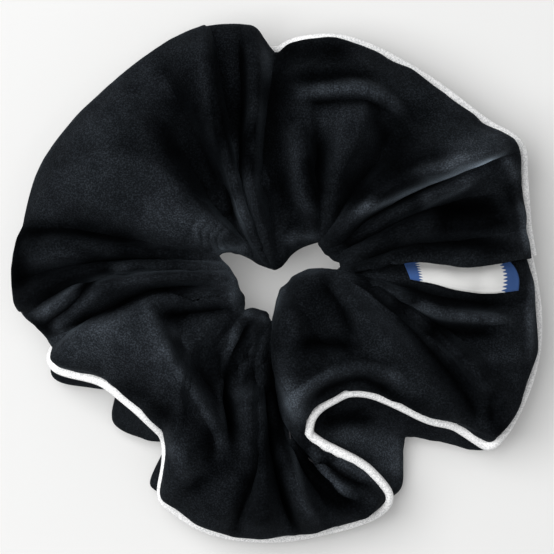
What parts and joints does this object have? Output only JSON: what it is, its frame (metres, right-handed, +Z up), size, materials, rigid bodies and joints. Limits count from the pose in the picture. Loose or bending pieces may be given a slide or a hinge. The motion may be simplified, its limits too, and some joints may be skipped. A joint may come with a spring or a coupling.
{
  "type": "scrunchie",
  "caption": "Gathered velvet hair tie with a piped outer edge, a hidden elastic loop and a woven side label.",
  "frame": {"origin": "middle of the whole assembly's box, on the surface that it lies on", "axes": "+Z up, through the hair loop; +X towards the woven label"},
  "size_m": [0.1274, 0.1242, 0.0345],
  "materials": {
    "velvet": "short-pile velvet, near black",
    "piping_tape": "silver-white woven tape",
    "cotton_cord": "twisted cotton cord",
    "sewing_thread": "black polyester thread",
    "elastic": "woven flat elastic",
    "elastic_thread": "white polyester thread",
    "label_tape": "woven tape, white with blue ends"
  },
  "bodies": {
    "casing": {"velvet_casing": "velvet", "piping_cover": "piping_tape", "piping_core": "cotton_cord", "edge_seam_thread": "sewing_thread", "closing_seam_thread": "sewing_thread"},
    "elastic": {"elastic_band": "elastic", "elastic_joint_thread": "elastic_thread"},
    "label": {"woven_label": "label_tape"}
  },
  "joints": [
    {"name": "elastic_slip", "type": "hinge", "parent": "casing", "child": "elastic", "pos_m": [0.00087, 0.00154, 0.015], "axis": [0, 0, 1], "continuous": true},
    {"name": "label_flap", "type": "hinge", "parent": "casing", "child": "label", "pos_m": [0.04203, 0.00468, 0.02971], "axis": [-0.9779, -0.0856, 0.1908], "range_deg": [0, 75]}
  ]
}
